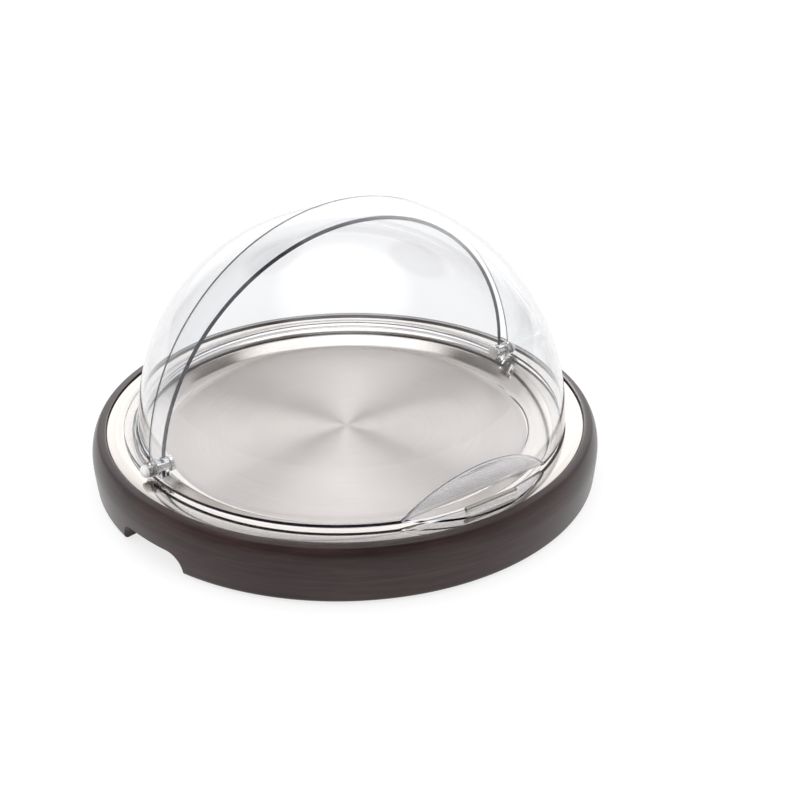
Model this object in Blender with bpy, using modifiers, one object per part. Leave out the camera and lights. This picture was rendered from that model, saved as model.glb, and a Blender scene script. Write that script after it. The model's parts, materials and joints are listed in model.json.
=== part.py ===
"""Round roll-top serving dome: a wooden ring base, a steel tray and a clear two-shell cover.

The moving front shell swings up and back over the fixed rear shell, on two pivots along X.
The frame is +Z up, with the grip of the front shell towards -Y and the origin under the middle.
"""
import math

import bmesh
import bpy
from mathutils import Matrix, Vector

# ---------------------------------------------------------------- driving dimensions, metres
GAP = 0.0003                  # play kept between touching pieces

BASE_RADIUS = 0.219
BASE_TOP = 0.0493             # highest line of the wooden ring
BASE_LIP = 0.0066             # width of the ring's nearly flat top
BASE_BELLY_Z = 0.0290         # height of the ring's widest line
BASE_BULGE = 0.0162           # half width of the oval that the outer wall follows
BASE_RISE = 0.0256            # half height of that oval
SWELL_START = 50              # degrees up the oval where the wall meets the lip
BASE_FOOT_ROUND = 0.0040
FOOT_LIFT = 0.0020            # how far the feet hold the wood off the table
RING_INNER_RADIUS = 0.190
REBATE_RADIUS = 0.2062        # recess in the ring that takes the tray's flange
REBATE_Z = 0.0465
SHOULDER_RADIUS = 0.182       # inner step that carries the base board
SHOULDER_Z = 0.0090
NOTCH_WIDTH = 0.074
NOTCH_TOP = 0.0200
NOTCH_CORNER = 0.0150
NOTCH_AZIMUTH = math.radians(-170.0)

BOARD_THICKNESS = 0.0040
BOARD_RADIUS = RING_INNER_RADIUS - 0.0005
SCREW_CIRCLE = 0.186
SCREW_LENGTH = 0.0094
SCREW_SHANK_RADIUS = 0.0015
SCREW_HEAD_RADIUS = 0.0031
SCREW_HEAD_HEIGHT = 0.0019
FOOT_CIRCLE = 0.203
FOOT_RADIUS = 0.0080
FOOT_POCKET = 0.0016

TRAY_RADIUS = 0.2055
TRAY_TOP = 0.0480
TRAY_FLOOR = 0.0340
TRAY_SHEET = 0.0012
TRAY_MOUTH_RADIUS = 0.1855
TRAY_FLOOR_RADIUS = 0.1580

SHELL_CENTRE_Z = 0.0490
SHELL_WALL = 0.0030
FRONT_RADIUS = 0.190
REAR_RADIUS = 0.178
FRONT_RIM_Z = 0.0510
REAR_RIM_Z = TRAY_TOP + GAP
FRONT_LAP = math.radians(2.3)      # how far the front shell runs back past upright
REAR_LAP = math.radians(4.9)       # how far the rear shell runs forward past upright
REAR_SKIRT_RADIUS = 0.191
REAR_SKIRT_TOP = REAR_RIM_Z + 0.0025
REAR_SKIRT_START = 0.0095          # the skirt stops this far behind the pivot axis

PIVOT_Z = 0.0560
BOSS_RADIUS = 0.0066
BOSS_INNER_X = 0.1725
BOSS_OUTER_X = 0.1834
EAR_INNER_X = 0.1849
EAR_OUTER_X = 0.1908
PIN_RADIUS = 0.0025
PIN_HOLE_RADIUS = 0.0028
PIN_END_X = 0.1950
SCREW_FACE_X = 0.1689         # inner face of the pivot screw's head
PIVOT_HEAD_RADIUS = 0.0065
BUSH_RADIUS = 0.0036
BUSH_HOLE_RADIUS = 0.0039
GAP_WASHER_RADIUS = 0.0060
NUT_WASHER_RADIUS = 0.0055
NUT_INNER_X = 0.1922
NUT_OUTER_X = 0.1975
NUT_RADIUS = 0.0050
NUT_RIM = 0.0020              # straight part of the cap nut under its dome
BORE_REACH = (0.165, 0.200)   # the bores' cutters run between these distances from the middle

GRIP_BASE_Z = 0.0530          # top of the grip's ledge, where the flat facet starts
GRIP_BASE_Y = 0.1764          # distance of the facet's lower edge from the middle
GRIP_TOP_Z = 0.0827
GRIP_TOP_Y = 0.1869
LEDGE_REACH = 0.2050
LEDGE_HALF_WIDTH = 0.0680
LEDGE_BACK_Y = 0.1750
GRIP_BAR = (0.050, 0.0028, 0.0032)
GRIP_BAR_Y = 0.1946           # distance of the bar's middle line from the middle

ROUND = 72                    # sides of the large turned pieces
SMALL = 20                    # sides of the small turned pieces
BIG = 1.0                     # a cutter's size where it only has to reach past everything


# ---------------------------------------------------------------- scene helpers
def clear_scene():
    for obj in list(bpy.data.objects):
        bpy.data.objects.remove(obj, do_unlink=True)


def new_collection(name):
    collection = bpy.data.collections.new(name)
    bpy.context.scene.collection.children.link(collection)
    return collection


def new_material(name, colour, roughness, metallic=0.0, alpha=1.0):
    material = bpy.data.materials.new(name)
    material.use_nodes = True
    shader = material.node_tree.nodes["Principled BSDF"]
    shader.inputs["Base Color"].default_value = (*colour, 1.0)
    shader.inputs["Roughness"].default_value = roughness
    shader.inputs["Metallic"].default_value = metallic
    shader.inputs["Alpha"].default_value = alpha
    return material


def new_object(name, mesh, collection, material=None):
    obj = bpy.data.objects.new(name, mesh)
    collection.objects.link(obj)
    if material:
        mesh.materials.append(material)
    if collection is cutters:
        obj.hide_render = True
        obj.display_type = "WIRE"
    return obj


def cut(obj, tool, operation="DIFFERENCE"):
    modifier = obj.modifiers.new(operation.title(), "BOOLEAN")
    modifier.operation = operation
    modifier.solver = "EXACT"
    modifier.object = tool


def join(obj, tool):
    cut(obj, tool, "UNION")


# ---------------------------------------------------------------- shape helpers
def box(name, low, high, collection, material=None, turn=None):
    """A box between two corners; turn is a matrix applied to it in place."""
    low, high = Vector(low), Vector(high)
    bm = bmesh.new()
    bmesh.ops.create_cube(bm, size=1.0)
    size = high - low
    bmesh.ops.scale(bm, vec=size, verts=bm.verts)
    bmesh.ops.translate(bm, vec=(low + high) / 2, verts=bm.verts)
    if turn:
        bmesh.ops.transform(bm, matrix=turn, verts=bm.verts)
    mesh = bpy.data.meshes.new(name)
    bm.to_mesh(mesh)
    bm.free()
    return new_object(name, mesh, collection, material)


def cylinder(name, radius, start, end, collection, material=None, segments=SMALL):
    """A cylinder between two points on its axis."""
    start, end = Vector(start), Vector(end)
    bm = bmesh.new()
    bmesh.ops.create_cone(
        bm, cap_ends=True, segments=segments, radius1=radius, radius2=radius, depth=(end - start).length
    )
    mesh = bpy.data.meshes.new(name)
    bm.to_mesh(mesh)
    bm.free()
    obj = new_object(name, mesh, collection, material)
    obj.location = (start + end) / 2
    obj.rotation_euler = (end - start).to_track_quat("Z", "Y").to_euler()
    return obj


def ball(name, radius, collection, material=None):
    """A ball centred on the shells' centre, with its poles on the X axis."""
    bm = bmesh.new()
    bmesh.ops.create_uvsphere(bm, u_segments=48, v_segments=24, radius=radius)
    bmesh.ops.rotate(bm, matrix=Matrix.Rotation(math.pi / 2, 3, "Y"), verts=bm.verts)
    mesh = bpy.data.meshes.new(name)
    bm.to_mesh(mesh)
    bm.free()
    mesh.shade_smooth()
    obj = new_object(name, mesh, collection, material)
    obj.location = (0, 0, SHELL_CENTRE_Z)
    return obj


def turned(name, profile, collection, material=None, closed=True, segments=ROUND):
    """A piece turned about its local Z from (radius, height) points that run down its outer side."""
    mesh = bpy.data.meshes.new(name)
    points = [(radius, 0.0, height) for radius, height in profile]
    edges = [(i, i + 1) for i in range(len(points) - 1)]
    if closed:
        edges.append((len(points) - 1, 0))
    mesh.from_pydata(points, edges, [])
    obj = new_object(name, mesh, collection, material)
    screw = obj.modifiers.new("Turn", "SCREW")
    screw.steps = segments
    screw.render_steps = segments
    screw.use_merge_vertices = True
    screw.merge_threshold = 0.00001
    screw.use_smooth_shade = True
    return obj


def arc(centre, radii, start, end, steps):
    """Points on an ellipse's arc in the profile plane, angles in degrees."""
    angles = [math.radians(start + (end - start) * i / steps) for i in range(steps + 1)]
    return [(centre[0] + radii[0] * math.cos(a), centre[1] + radii[1] * math.sin(a)) for a in angles]


def on_circle(radius, azimuth, z):
    return Vector((radius * math.cos(azimuth), radius * math.sin(azimuth), z))


# ---------------------------------------------------------------- wooden base
def notch_cutter(name, azimuth):
    """A tunnel with rounded upper corners, run through the ring's wall from outside to inside."""
    straight = NOTCH_TOP - NOTCH_CORNER
    half = NOTCH_WIDTH / 2
    outline = [(-half, -0.010)]
    outline += arc((-half + NOTCH_CORNER, straight), (NOTCH_CORNER, NOTCH_CORNER), 180, 90, 6)
    outline += arc((half - NOTCH_CORNER, straight), (NOTCH_CORNER, NOTCH_CORNER), 90, 0, 6)
    outline.append((half, -0.010))
    bm = bmesh.new()
    near, far = SHOULDER_RADIUS - 0.020, BASE_RADIUS + 0.020
    face = bm.faces.new([bm.verts.new((near, y, z)) for y, z in outline])
    grown = bmesh.ops.extrude_face_region(bm, geom=[face])
    moved = [v for v in grown["geom"] if isinstance(v, bmesh.types.BMVert)]
    bmesh.ops.translate(bm, vec=(far - near, 0, 0), verts=moved)
    bmesh.ops.recalc_face_normals(bm, faces=bm.faces)
    mesh = bpy.data.meshes.new(name)
    bm.to_mesh(mesh)
    bm.free()
    obj = new_object(name, mesh, cutters)
    obj.rotation_euler = (0, 0, azimuth)
    return obj


def wooden_base():
    """Ring with a flat lip and swelling outer wall, a rebate for the tray, and its board, screws and feet."""
    bottom = FOOT_LIFT
    lip = REBATE_RADIUS + BASE_LIP
    swell = (BASE_BULGE, BASE_RISE)
    foot_round = (BASE_FOOT_ROUND, BASE_FOOT_ROUND)
    profile = [
        (REBATE_RADIUS, BASE_TOP - 0.0005),
        (REBATE_RADIUS + 0.0005, BASE_TOP),
        (lip, BASE_TOP - 0.0006),
    ]
    profile += arc((BASE_RADIUS - BASE_BULGE, BASE_BELLY_Z), swell, SWELL_START, 0, 5)
    profile += [(BASE_RADIUS - 0.0005, 0.0180)]
    profile += arc((BASE_RADIUS - 0.0055, bottom + BASE_FOOT_ROUND), foot_round, 0, -90, 3)
    profile += [
        (SHOULDER_RADIUS, bottom),
        (SHOULDER_RADIUS, SHOULDER_Z),
        (RING_INNER_RADIUS, SHOULDER_Z),
        (RING_INNER_RADIUS, REBATE_Z),
        (REBATE_RADIUS, REBATE_Z),
    ]
    ring = turned("wooden_base_ring", profile, parts, materials["wood"])
    for index, azimuth in enumerate((NOTCH_AZIMUTH, NOTCH_AZIMUTH + math.pi)):
        cut(ring, notch_cutter(f"notch_cutter_{index}", azimuth))

    board_low = SHOULDER_Z + GAP
    board_top = board_low + BOARD_THICKNESS
    board = cylinder(
        "base_board", BOARD_RADIUS, (0, 0, board_low), (0, 0, board_top), parts, materials["board"], ROUND
    )
    for index in range(4):
        azimuth = math.radians(45 + 90 * index)
        spot = on_circle(SCREW_CIRCLE, azimuth, 0)
        head_low = FOOT_LIFT + GAP
        head_top = head_low + SCREW_HEAD_HEIGHT
        tip = head_low + SCREW_LENGTH
        bore_end = spot + Vector((0, 0, head_top + GAP))
        counterbore = cylinder(f"counterbore_{index}", SCREW_HEAD_RADIUS + GAP, spot, bore_end, cutters)
        pilot_end = spot + Vector((0, 0, tip + GAP))
        pilot = cylinder(f"pilot_{index}", SCREW_SHANK_RADIUS + GAP, spot, pilot_end, cutters)
        cut(ring, counterbore)
        cut(ring, pilot)
        cut(board, pilot)
        profile = [(0, tip), (SCREW_SHANK_RADIUS, tip), (SCREW_SHANK_RADIUS, head_top)]
        profile += [(SCREW_HEAD_RADIUS, head_top), (SCREW_HEAD_RADIUS, head_low), (0, head_low)]
        screw = turned(f"board_screw_{index + 1}", profile, parts, materials["steel"], False, SMALL)
        screw.location = spot

    for index, azimuth_deg in enumerate((55, 125, 235, 305)):
        spot = on_circle(FOOT_CIRCLE, math.radians(azimuth_deg), 0)
        pocket = cylinder(
            f"foot_pocket_{index}", FOOT_RADIUS + GAP, spot,
            spot + Vector((0, 0, FOOT_LIFT + FOOT_POCKET)), cutters
        )
        cut(ring, pocket)
        top = FOOT_LIFT + FOOT_POCKET - GAP
        profile = [(0, top), (FOOT_RADIUS, top), (FOOT_RADIUS, 0.0006), (FOOT_RADIUS - 0.0006, 0), (0, 0)]
        foot = turned(f"rubber_foot_{index + 1}", profile, parts, materials["rubber"], False, SMALL)
        foot.location = spot


# ---------------------------------------------------------------- steel tray
def steel_tray():
    """Pressed sheet: flat flange, rounded mouth, sloping wall and flat floor."""
    top_side = [
        (0, TRAY_FLOOR),
        (TRAY_FLOOR_RADIUS, TRAY_FLOOR),
        (TRAY_FLOOR_RADIUS + 0.0040, TRAY_FLOOR + 0.0010),
        (TRAY_MOUTH_RADIUS - 0.0030, TRAY_TOP - 0.0010),
        (TRAY_MOUTH_RADIUS, TRAY_TOP),
        (TRAY_RADIUS - 0.0004, TRAY_TOP),
        (TRAY_RADIUS, TRAY_TOP - 0.0004),
    ]
    under_side = [
        (TRAY_RADIUS, TRAY_TOP - TRAY_SHEET),
        (TRAY_MOUTH_RADIUS + 0.0003, TRAY_TOP - TRAY_SHEET),
        (TRAY_MOUTH_RADIUS - 0.0024, TRAY_TOP - TRAY_SHEET - 0.0010),
        (TRAY_FLOOR_RADIUS + 0.0044, TRAY_FLOOR - TRAY_SHEET + 0.0010),
        (TRAY_FLOOR_RADIUS + 0.0003, TRAY_FLOOR - TRAY_SHEET),
        (0, TRAY_FLOOR - TRAY_SHEET),
    ]
    turned("steel_tray", top_side + under_side, parts, materials["steel"], closed=False)


# ---------------------------------------------------------------- clear cover
def axis_turn(angle):
    """Rotation about the pivot axis; a positive angle tips upright things back, towards +Y."""
    centre = Vector((0, 0, PIVOT_Z))
    return Matrix.Translation(centre) @ Matrix.Rotation(-angle, 4, "X") @ Matrix.Translation(-centre)


def below(name, height):
    return box(name, (-BIG, -BIG, -BIG), (BIG, BIG, height), cutters)


def pivot_bore(name, radius, side):
    near, far = (Vector((side * reach, 0, PIVOT_Z)) for reach in BORE_REACH)
    return cylinder(name, radius, near, far, cutters)


def rear_shell():
    """Fixed quarter ball with a flat skirt on the flange and a footed boss at each pivot."""
    shell = ball("rear_shell", REAR_RADIUS, parts, materials["clear"])
    cut(shell, ball("rear_hollow", REAR_RADIUS - SHELL_WALL, cutters))
    cut(shell, box("rear_front_cut", (-BIG, -BIG, -BIG), (BIG, 0, BIG), cutters, turn=axis_turn(-REAR_LAP)))
    cut(shell, below("rear_below", REAR_RIM_Z))

    inside = REAR_RADIUS - SHELL_WALL + 0.0006
    skirt_low = REAR_RIM_Z + 0.0002
    fillet_top = REAR_SKIRT_TOP + 0.0050
    skirt_profile = [
        (REAR_RADIUS - 0.0008, fillet_top),
        (REAR_RADIUS + 0.0010, REAR_SKIRT_TOP + 0.0015),
        (REAR_RADIUS + 0.0040, REAR_SKIRT_TOP),
        (REAR_SKIRT_RADIUS, REAR_SKIRT_TOP),
        (REAR_SKIRT_RADIUS, skirt_low),
        (inside, skirt_low),
        (inside, fillet_top),
    ]
    skirt = turned("rear_skirt", skirt_profile, cutters)
    cut(skirt, box("skirt_front_cut", (-BIG, -BIG, -BIG), (BIG, REAR_SKIRT_START, BIG), cutters))
    join(shell, skirt)

    for side in (-1, 1):
        tag = "left" if side < 0 else "right"
        boss_ends = [(side * x, 0, PIVOT_Z) for x in (BOSS_INNER_X, BOSS_OUTER_X)]
        boss = cylinder(f"boss_{tag}", BOSS_RADIUS, *boss_ends, cutters)
        foot_ends = sorted((side * (BOSS_INNER_X + 0.0020), side * (BOSS_OUTER_X - 0.0010)))
        foot = box(
            f"boss_foot_{tag}", (foot_ends[0], -0.0055, REAR_RIM_Z), (foot_ends[1], 0.0055, PIVOT_Z), cutters
        )
        bore = pivot_bore(f"boss_bore_{tag}", PIN_HOLE_RADIUS, side)
        join(shell, foot)
        join(shell, boss)
        cut(shell, bore)


def facet_box(name, inset):
    """Everything beyond the grip's flat facet, a plane that leans outwards; inset moves it inwards."""
    lean = math.atan2(GRIP_TOP_Y - GRIP_BASE_Y, GRIP_TOP_Z - GRIP_BASE_Z)
    corner = Matrix.Translation((0, -GRIP_BASE_Y, GRIP_BASE_Z)) @ Matrix.Rotation(lean, 4, "X")
    return box(name, (-BIG, -BIG, -BIG), (BIG, inset, BIG), cutters, turn=corner)


def front_shell():
    """Moving quarter ball with a flat grip facet, a ledge under it and an ear at each pivot."""
    pivot = bpy.data.objects.new("front_pivot", None)
    pivot.location = (0, 0, PIVOT_Z)
    parts.objects.link(pivot)

    shell = ball("front_shell", FRONT_RADIUS, parts, materials["clear"])
    shell.parent = pivot
    shell.location = (0, 0, SHELL_CENTRE_Z - PIVOT_Z)
    hollow = ball("front_hollow", FRONT_RADIUS - SHELL_WALL, cutters)
    cut(hollow, facet_box("facet_inside", SHELL_WALL))
    cut(shell, facet_box("facet_outside", 0.0))
    cut(shell, hollow)
    cut(shell, box("front_rear_cut", (-BIG, 0, -BIG), (BIG, BIG, BIG), cutters, turn=axis_turn(FRONT_LAP)))
    cut(shell, below("front_below", FRONT_RIM_Z))

    sag = LEDGE_REACH - GRIP_BASE_Y
    ledge_radius = (LEDGE_HALF_WIDTH ** 2 + sag ** 2) / (2 * sag)
    ledge_y = ledge_radius - LEDGE_REACH
    ledge = cylinder(
        "grip_ledge", ledge_radius, (0, ledge_y, FRONT_RIM_Z + 0.0001), (0, ledge_y, GRIP_BASE_Z + 0.0001),
        cutters, segments=ROUND
    )
    cut(ledge, box("ledge_back_cut", (-BIG, -LEDGE_BACK_Y, -BIG), (BIG, BIG, BIG), cutters))
    join(shell, ledge)
    bar = box(
        "grip_bar", (-GRIP_BAR[0] / 2, -GRIP_BAR_Y - GRIP_BAR[1] / 2, GRIP_BASE_Z - 0.0010),
        (GRIP_BAR[0] / 2, -GRIP_BAR_Y + GRIP_BAR[1] / 2, GRIP_BASE_Z + GRIP_BAR[2]), cutters
    )
    join(shell, bar)

    for side in (-1, 1):
        tag = "left" if side < 0 else "right"
        ear_ends = [(side * x, 0, PIVOT_Z) for x in (EAR_INNER_X, EAR_OUTER_X)]
        ear = cylinder(f"ear_{tag}", BOSS_RADIUS, *ear_ends, cutters)
        bore = pivot_bore(f"ear_bore_{tag}", BUSH_HOLE_RADIUS, side)
        join(shell, ear)
        cut(shell, bore)


# ---------------------------------------------------------------- pivots
def ring_profile(outer, inner, low, high):
    return [(inner, high), (outer, high), (outer, low), (inner, low)]


def pivots():
    """At each side: a wide-headed screw from inside, a bush, two washers and a domed cap nut."""
    head_high = BOSS_INNER_X - GAP
    chamfer = 0.0008
    screw_profile = [
        (0, PIN_END_X), (PIN_RADIUS - GAP, PIN_END_X), (PIN_RADIUS, PIN_END_X - GAP), (PIN_RADIUS, head_high),
        (PIVOT_HEAD_RADIUS, head_high), (PIVOT_HEAD_RADIUS, SCREW_FACE_X + chamfer),
        (PIVOT_HEAD_RADIUS - chamfer, SCREW_FACE_X), (0, SCREW_FACE_X),
    ]
    nut_shoulder = NUT_INNER_X + NUT_RIM
    nut_profile = [(0, NUT_OUTER_X)]
    nut_profile += arc((0, nut_shoulder), (NUT_RADIUS, NUT_OUTER_X - nut_shoulder), 70, 0, 3)
    nut_profile += [
        (NUT_RADIUS, NUT_INNER_X), (PIN_HOLE_RADIUS, NUT_INNER_X), (PIN_HOLE_RADIUS, PIN_END_X + GAP),
        (0, PIN_END_X + GAP)
    ]
    gap_washer = ring_profile(GAP_WASHER_RADIUS, PIN_HOLE_RADIUS, BOSS_OUTER_X + GAP, EAR_INNER_X - GAP)
    ear_bush = ring_profile(BUSH_RADIUS, PIN_HOLE_RADIUS, EAR_INNER_X, EAR_OUTER_X)
    nut_washer = ring_profile(NUT_WASHER_RADIUS, PIN_HOLE_RADIUS, EAR_OUTER_X + GAP, NUT_INNER_X - GAP)
    pieces = {
        "pivot_screw": (screw_profile, "chrome", False),
        "cap_nut": (nut_profile, "cap", False),
        "gap_washer": (gap_washer, "nylon", True),
        "ear_bush": (ear_bush, "nylon", True),
        "nut_washer": (nut_washer, "steel", True),
    }
    for side in (-1, 1):
        tag = "left" if side < 0 else "right"
        for name, (profile, material, closed) in pieces.items():
            piece = turned(f"{name}_{tag}", profile, parts, materials[material], closed, SMALL)
            piece.location = (0, 0, PIVOT_Z)
            piece.rotation_euler = (0, side * math.pi / 2, 0)


clear_scene()
parts = new_collection("roll_top_cake_dome")
cutters = new_collection("cutters")
materials = {
    "wood": new_material("dark_stained_wood", (0.055, 0.030, 0.026), 0.35),
    "board": new_material("base_board_ply", (0.10, 0.065, 0.045), 0.6),
    "steel": new_material("stainless_steel", (0.66, 0.64, 0.61), 0.25, metallic=1.0),
    "chrome": new_material("polished_steel", (0.80, 0.80, 0.80), 0.1, metallic=1.0),
    "clear": new_material("clear_plastic", (0.93, 0.95, 0.97), 0.03, alpha=0.35),
    "cap": new_material("cap_plastic", (0.85, 0.86, 0.86), 0.2),
    "nylon": new_material("nylon", (0.86, 0.86, 0.83), 0.4),
    "rubber": new_material("foot_rubber", (0.03, 0.03, 0.03), 0.8),
}
wooden_base()
steel_tray()
rear_shell()
front_shell()
pivots()
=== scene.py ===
"""Looks of the roll-top cake dome: finely modelled wood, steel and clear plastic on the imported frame."""

import json
import math

import bmesh
import bpy
from mathutils import Matrix, Vector


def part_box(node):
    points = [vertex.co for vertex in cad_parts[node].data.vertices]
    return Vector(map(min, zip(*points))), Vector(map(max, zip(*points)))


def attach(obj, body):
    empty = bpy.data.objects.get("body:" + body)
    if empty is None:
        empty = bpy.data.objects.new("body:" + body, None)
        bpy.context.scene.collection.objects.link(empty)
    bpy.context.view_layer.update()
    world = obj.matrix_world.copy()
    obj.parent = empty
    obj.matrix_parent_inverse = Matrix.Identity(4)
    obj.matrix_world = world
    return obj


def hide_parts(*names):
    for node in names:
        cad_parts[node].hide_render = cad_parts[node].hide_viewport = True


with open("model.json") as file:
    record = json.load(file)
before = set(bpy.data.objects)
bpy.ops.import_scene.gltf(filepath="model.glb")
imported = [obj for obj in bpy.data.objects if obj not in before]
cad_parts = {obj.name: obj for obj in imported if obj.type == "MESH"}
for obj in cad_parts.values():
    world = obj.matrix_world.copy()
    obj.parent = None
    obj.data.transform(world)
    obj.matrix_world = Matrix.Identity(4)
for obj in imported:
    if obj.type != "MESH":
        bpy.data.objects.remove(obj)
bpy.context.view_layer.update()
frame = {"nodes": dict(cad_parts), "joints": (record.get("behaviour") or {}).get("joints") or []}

# ---------------------------------------------------------------- sizes, metres, read from the frame
ring_low, ring_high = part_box("wooden_base_ring")
tray_low, tray_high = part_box("steel_tray")
rear_low, rear_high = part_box("rear_shell")
front_low, front_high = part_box("front_shell")
board_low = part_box("base_board")[0]
PIVOT = Vector(next(j for j in frame["joints"] if j["type"] == "hinge")["pos_m"])

TRAY_TOP = tray_high.z
SHEET = 0.0012
SHELL_CENTRE = Vector((0, 0, TRAY_TOP + 0.0010))
WALL = 0.0030
FRONT_RADIUS = front_high.z - SHELL_CENTRE.z
REAR_RADIUS = rear_high.z - SHELL_CENTRE.z
FRONT_RIM_Z = TRAY_TOP + 0.0030
REAR_RIM_Z = rear_low.z
FRONT_LAP = math.radians(2.3)
REAR_LAP = math.radians(4.9)
SKIRT_RADIUS = 0.191
SKIRT_TOP = REAR_RIM_Z + 0.0025
SKIRT_START = 0.0095

BOSS_RADIUS = 0.0066
BOSS_X = (0.1725, 0.1834)
EAR_X = (0.1849, 0.1908)
HOLE_RADIUS = 0.0028
BUSH_HOLE_RADIUS = 0.0039

GRIP_BASE = Vector((0, -0.1764, 0.0530))
GRIP_TOP = Vector((0, -0.1869, 0.0827))
LEDGE_REACH = -front_low.y
LEDGE_HALF_WIDTH = 0.0680
LEDGE_BACK_Y = -0.1750
GRIP_BAR = Vector((0.050, 0.0028, 0.0032))
GRIP_BAR_Y = -0.1946

BIG = 1.0


# ---------------------------------------------------------------- mesh helpers
def add_object(name, mesh, *surfaces):
    obj = bpy.data.objects.new(name, mesh)
    bpy.context.scene.collection.objects.link(obj)
    for surface in surfaces:
        mesh.materials.append(surface)
    return obj


def mesh_from_bmesh(name, bm):
    mesh = bpy.data.meshes.new(name)
    bm.to_mesh(mesh)
    bm.free()
    return mesh


def lathe(name, profile, *surfaces, segments=64, closed=True, where=Vector(), side=None, sharp_deg=35):
    """A turned mesh from (radius, height) points running down its outer side.

    side -1 or 1 lays its axis along X, pointing that way. A point on the axis becomes one vertex.
    """
    bm = bmesh.new()
    rows = []
    for radius, height in profile:
        if radius < 1e-7:
            rows.append([bm.verts.new((0, 0, height))])
            continue
        angles = [2 * math.pi * i / segments for i in range(segments)]
        rows.append([bm.verts.new((radius * math.cos(a), radius * math.sin(a), height)) for a in angles])
    pairs = list(zip(rows, rows[1:]))
    if closed:
        pairs.append((rows[-1], rows[0]))
    for upper, lower in pairs:
        for i in range(segments):
            j = (i + 1) % segments
            if len(upper) == 1:
                bm.faces.new((upper[0], lower[i], lower[j]))
            elif len(lower) == 1:
                bm.faces.new((upper[i], lower[0], upper[j]))
            else:
                bm.faces.new((upper[i], lower[i], lower[j], upper[j]))
    if side:
        bmesh.ops.rotate(bm, matrix=Matrix.Rotation(side * math.pi / 2, 3, "Y"), verts=bm.verts)
    bmesh.ops.translate(bm, vec=where, verts=bm.verts)
    mesh = mesh_from_bmesh(name, bm)
    mesh.shade_smooth()
    mesh.set_sharp_from_angle(angle=math.radians(sharp_deg))
    return add_object(name, mesh, *surfaces)


def arc(centre, radii, start, end, steps):
    angles = [math.radians(start + (end - start) * i / steps) for i in range(steps + 1)]
    return [(centre[0] + radii[0] * math.cos(a), centre[1] + radii[1] * math.sin(a)) for a in angles]


def rounded(points, radius, steps=4):
    """A profile whose inner corners are rounded; the first and last points stay."""
    result = [points[0]]
    for before, corner, after in zip(points, points[1:], points[2:]):
        corner = Vector(corner)
        one, two = Vector(before) - corner, Vector(after) - corner
        reach = min(radius, one.length * 0.45, two.length * 0.45)
        start, end = corner + one.normalized() * reach, corner + two.normalized() * reach
        for i in range(steps + 1):
            t = i / steps
            result.append(tuple(start * (1 - t) ** 2 + corner * 2 * t * (1 - t) + end * t ** 2))
    result.append(points[-1])
    return result


def box(name, low, high, turn=None):
    bm = bmesh.new()
    bmesh.ops.create_cube(bm, size=1.0)
    low, high = Vector(low), Vector(high)
    bmesh.ops.scale(bm, vec=high - low, verts=bm.verts)
    bmesh.ops.translate(bm, vec=(low + high) / 2, verts=bm.verts)
    if turn:
        bmesh.ops.transform(bm, matrix=turn, verts=bm.verts)
    return add_object(name, mesh_from_bmesh(name, bm))


def rod(name, radius, start, end, segments=64):
    start, end = Vector(start), Vector(end)
    bm = bmesh.new()
    length = (end - start).length
    bmesh.ops.create_cone(
        bm, cap_ends=True, segments=segments, radius1=radius, radius2=radius, depth=length
    )
    turn = (end - start).to_track_quat("Z", "Y").to_matrix().to_4x4()
    bmesh.ops.transform(bm, matrix=Matrix.Translation((start + end) / 2) @ turn, verts=bm.verts)
    return add_object(name, mesh_from_bmesh(name, bm))


def ball(name, radius, segments=160):
    bm = bmesh.new()
    bmesh.ops.create_uvsphere(bm, u_segments=segments, v_segments=segments // 2, radius=radius)
    bmesh.ops.rotate(bm, matrix=Matrix.Rotation(math.pi / 2, 3, "Y"), verts=bm.verts)
    bmesh.ops.translate(bm, vec=SHELL_CENTRE, verts=bm.verts)
    return add_object(name, mesh_from_bmesh(name, bm))


def carve(obj, tool, operation="DIFFERENCE"):
    """Applies one exact Boolean to obj and removes the tool."""
    modifier = obj.modifiers.new("Carve", "BOOLEAN")
    modifier.operation = operation
    modifier.solver = "EXACT"
    modifier.object = tool
    graph = bpy.context.evaluated_depsgraph_get()
    result = bpy.data.meshes.new_from_object(obj.evaluated_get(graph), depsgraph=graph)
    obj.modifiers.clear()
    obj.data = result
    bpy.data.objects.remove(tool, do_unlink=True)


# ---------------------------------------------------------------- shader helpers
def new_surface(name):
    surface = bpy.data.materials.new(name)
    surface.use_nodes = True
    nodes = surface.node_tree.nodes
    return surface, nodes, surface.node_tree.links, nodes["Principled BSDF"]


def node(nodes, kind, **values):
    """A shader node with its settings; a value named after an input fills that input."""
    made = nodes.new(kind)
    for key, value in values.items():
        socket = key.replace("_", " ")
        if socket in made.inputs:
            made.inputs[socket].default_value = value
        else:
            setattr(made, key, value)
    return made


def math_node(nodes, links, operation, first, second=None):
    made = nodes.new("ShaderNodeMath")
    made.operation = operation
    for socket, value in zip(made.inputs, (first, second)):
        if value is None:
            continue
        if isinstance(value, (int, float)):
            socket.default_value = value
        else:
            links.new(value, socket)
    return made.outputs[0]


def polar_coordinates(nodes, links, around, along, up):
    """Coordinates that wrap round the Z axis: turn angle, radius and height, each scaled."""
    place = nodes.new("ShaderNodeTexCoord").outputs["Object"]
    split = nodes.new("ShaderNodeSeparateXYZ")
    links.new(place, split.inputs[0])
    x, y, z = split.outputs
    square = math_node(nodes, links, "ADD", math_node(nodes, links, "MULTIPLY", x, x),
                       math_node(nodes, links, "MULTIPLY", y, y))
    radius = math_node(nodes, links, "SQRT", square)
    angle = math_node(nodes, links, "ARCTAN2", y, x)
    joined = nodes.new("ShaderNodeCombineXYZ")
    links.new(math_node(nodes, links, "MULTIPLY", angle, around), joined.inputs[0])
    links.new(math_node(nodes, links, "MULTIPLY", radius, along), joined.inputs[1])
    links.new(math_node(nodes, links, "MULTIPLY", z, up), joined.inputs[2])
    return joined.outputs[0]


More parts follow.
